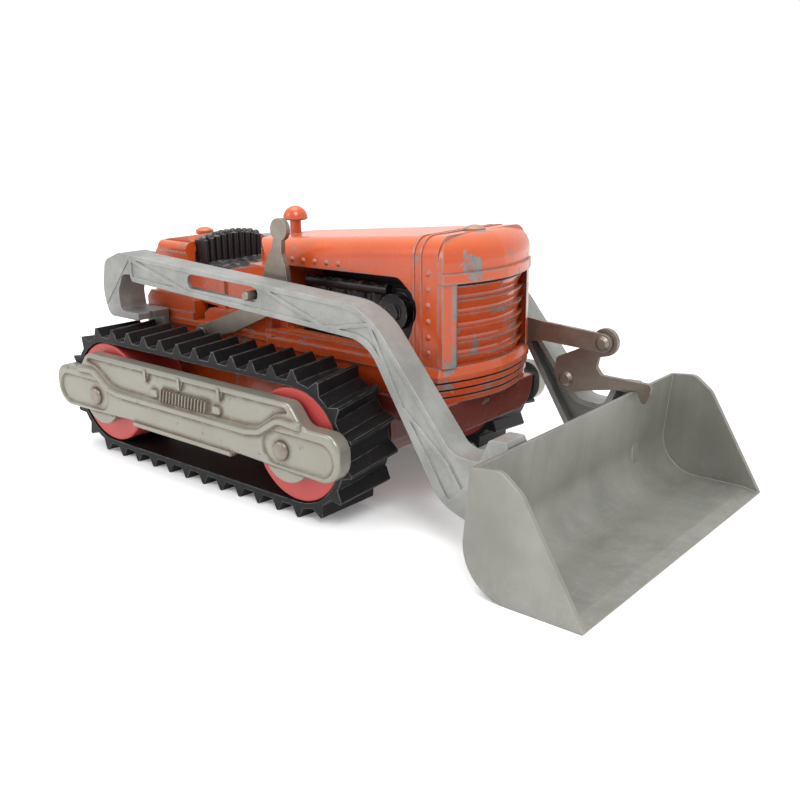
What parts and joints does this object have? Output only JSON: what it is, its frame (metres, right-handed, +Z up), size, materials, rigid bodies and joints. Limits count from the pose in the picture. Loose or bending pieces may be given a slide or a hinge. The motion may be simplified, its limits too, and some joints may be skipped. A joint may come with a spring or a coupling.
{
  "type": "toy crawler loader",
  "caption": "Toy crawler tractor with rubber tracks, turning wheels, lever-raised loader arms and a tipping front bucket worked by a latch linkage.",
  "frame": {"origin": "centre of the footprint, on the ground", "axes": "+X forward towards the bucket lip, +Y to the driver's left, +Z up"},
  "size_m": [0.2386, 0.1232, 0.0949],
  "materials": {
    "orange_paint": "gloss paint on a die casting, chipped to bare zinc on its edges",
    "black_paint": "satin black paint, worn grey on its high points",
    "rubber": "matt moulded rubber, dusty on its crests",
    "wheel_red": "satin coral red",
    "silver_paint": "aged silver paint with grime in its creases",
    "arm_metal": "satin bare casting",
    "bucket_metal": "dull, stained sheet",
    "steel": "dulled bright steel",
    "cap_paint": "worn orange paint over bare metal"
  },
  "bodies": {
    "chassis": {"body_casting": "orange_paint", "nose_casting": "orange_paint", "engine_block": "black_paint", "seat": "black_paint", "fuel_cap": "orange_paint", "radiator_cap": "cap_paint", "air_cleaner": "orange_paint", "belly_plate": "silver_paint", "belly_screws": "steel", "axle_rear": "steel", "axle_front": "steel", "arm_pivot_rod": "steel", "lever_rivet": "steel", "side_frame_right": "silver_paint", "side_frame_left": "silver_paint", "track_right": "rubber", "track_left": "rubber"},
    "wheel_rear_right_body": {"wheel_rear_right": "wheel_red"},
    "wheel_front_right_body": {"wheel_front_right": "wheel_red"},
    "wheel_rear_left_body": {"wheel_rear_left": "wheel_red"},
    "wheel_front_left_body": {"wheel_front_left": "wheel_red"},
    "lift_frame": {"arm_right": "arm_metal", "arm_left": "arm_metal", "bucket_hinge_rod": "steel", "latch_rivet": "steel"},
    "lever": {"lift_lever": "steel", "lever_pin": "steel"},
    "bucket_body": {"bucket": "bucket_metal"},
    "crank": {"latch_crank": "steel", "joint_rivet": "steel"},
    "rod": {"trip_rod": "steel"}
  },
  "joints": [
    {"name": "wheel_rear_right_spin", "type": "hinge", "parent": "chassis", "child": "wheel_rear_right_body", "pos_m": [-0.0941, 0, 0.0252], "axis": [0, 1, 0], "continuous": true},
    {"name": "wheel_front_right_spin", "type": "hinge", "parent": "chassis", "child": "wheel_front_right_body", "pos_m": [0.0075, 0, 0.0252], "axis": [0, 1, 0], "continuous": true},
    {"name": "wheel_rear_left_spin", "type": "hinge", "parent": "chassis", "child": "wheel_rear_left_body", "pos_m": [-0.0941, 0, 0.0252], "axis": [0, 1, 0], "continuous": true},
    {"name": "wheel_front_left_spin", "type": "hinge", "parent": "chassis", "child": "wheel_front_left_body", "pos_m": [0.0075, 0, 0.0252], "axis": [0, 1, 0], "continuous": true},
    {"name": "lift", "type": "hinge", "parent": "chassis", "child": "lift_frame", "pos_m": [-0.0931, 0, 0.032], "axis": [0, -1, 0], "range_deg": [0, 32]},
    {"name": "lever_swing", "type": "hinge", "parent": "chassis", "child": "lever", "pos_m": [-0.0651, 0, 0.048], "axis": [0, -1, 0], "range_deg": [0, 60.4]},
    {"name": "bucket_tip", "type": "hinge", "parent": "lift_frame", "child": "bucket_body", "pos_m": [0.0744, 0, 0.014], "axis": [0, 1, 0], "range_deg": [0, 75]},
    {"name": "latch_swing", "type": "hinge", "parent": "lift_frame", "child": "crank", "pos_m": [0.0584, 0, 0.038], "axis": [0, -1, 0], "range_deg": [0, 60]},
    {"name": "trip_swing", "type": "hinge", "parent": "crank", "child": "rod", "pos_m": [0.0729, 0, 0.053], "axis": [0, -1, 0], "range_deg": [-54.7, 0]}
  ],
  "couplings": [
    {"joint": "wheel_front_right_spin", "follows": "wheel_rear_right_spin", "ratio": 1},
    {"joint": "wheel_front_left_spin", "follows": "wheel_rear_left_spin", "ratio": 1},
    {"joint": "lever_swing", "follows": "lift", "ratio": 1.8868},
    {"joint": "latch_swing", "follows": "bucket_tip", "ratio": 0.8},
    {"joint": "trip_swing", "follows": "bucket_tip", "ratio": -0.729}
  ]
}
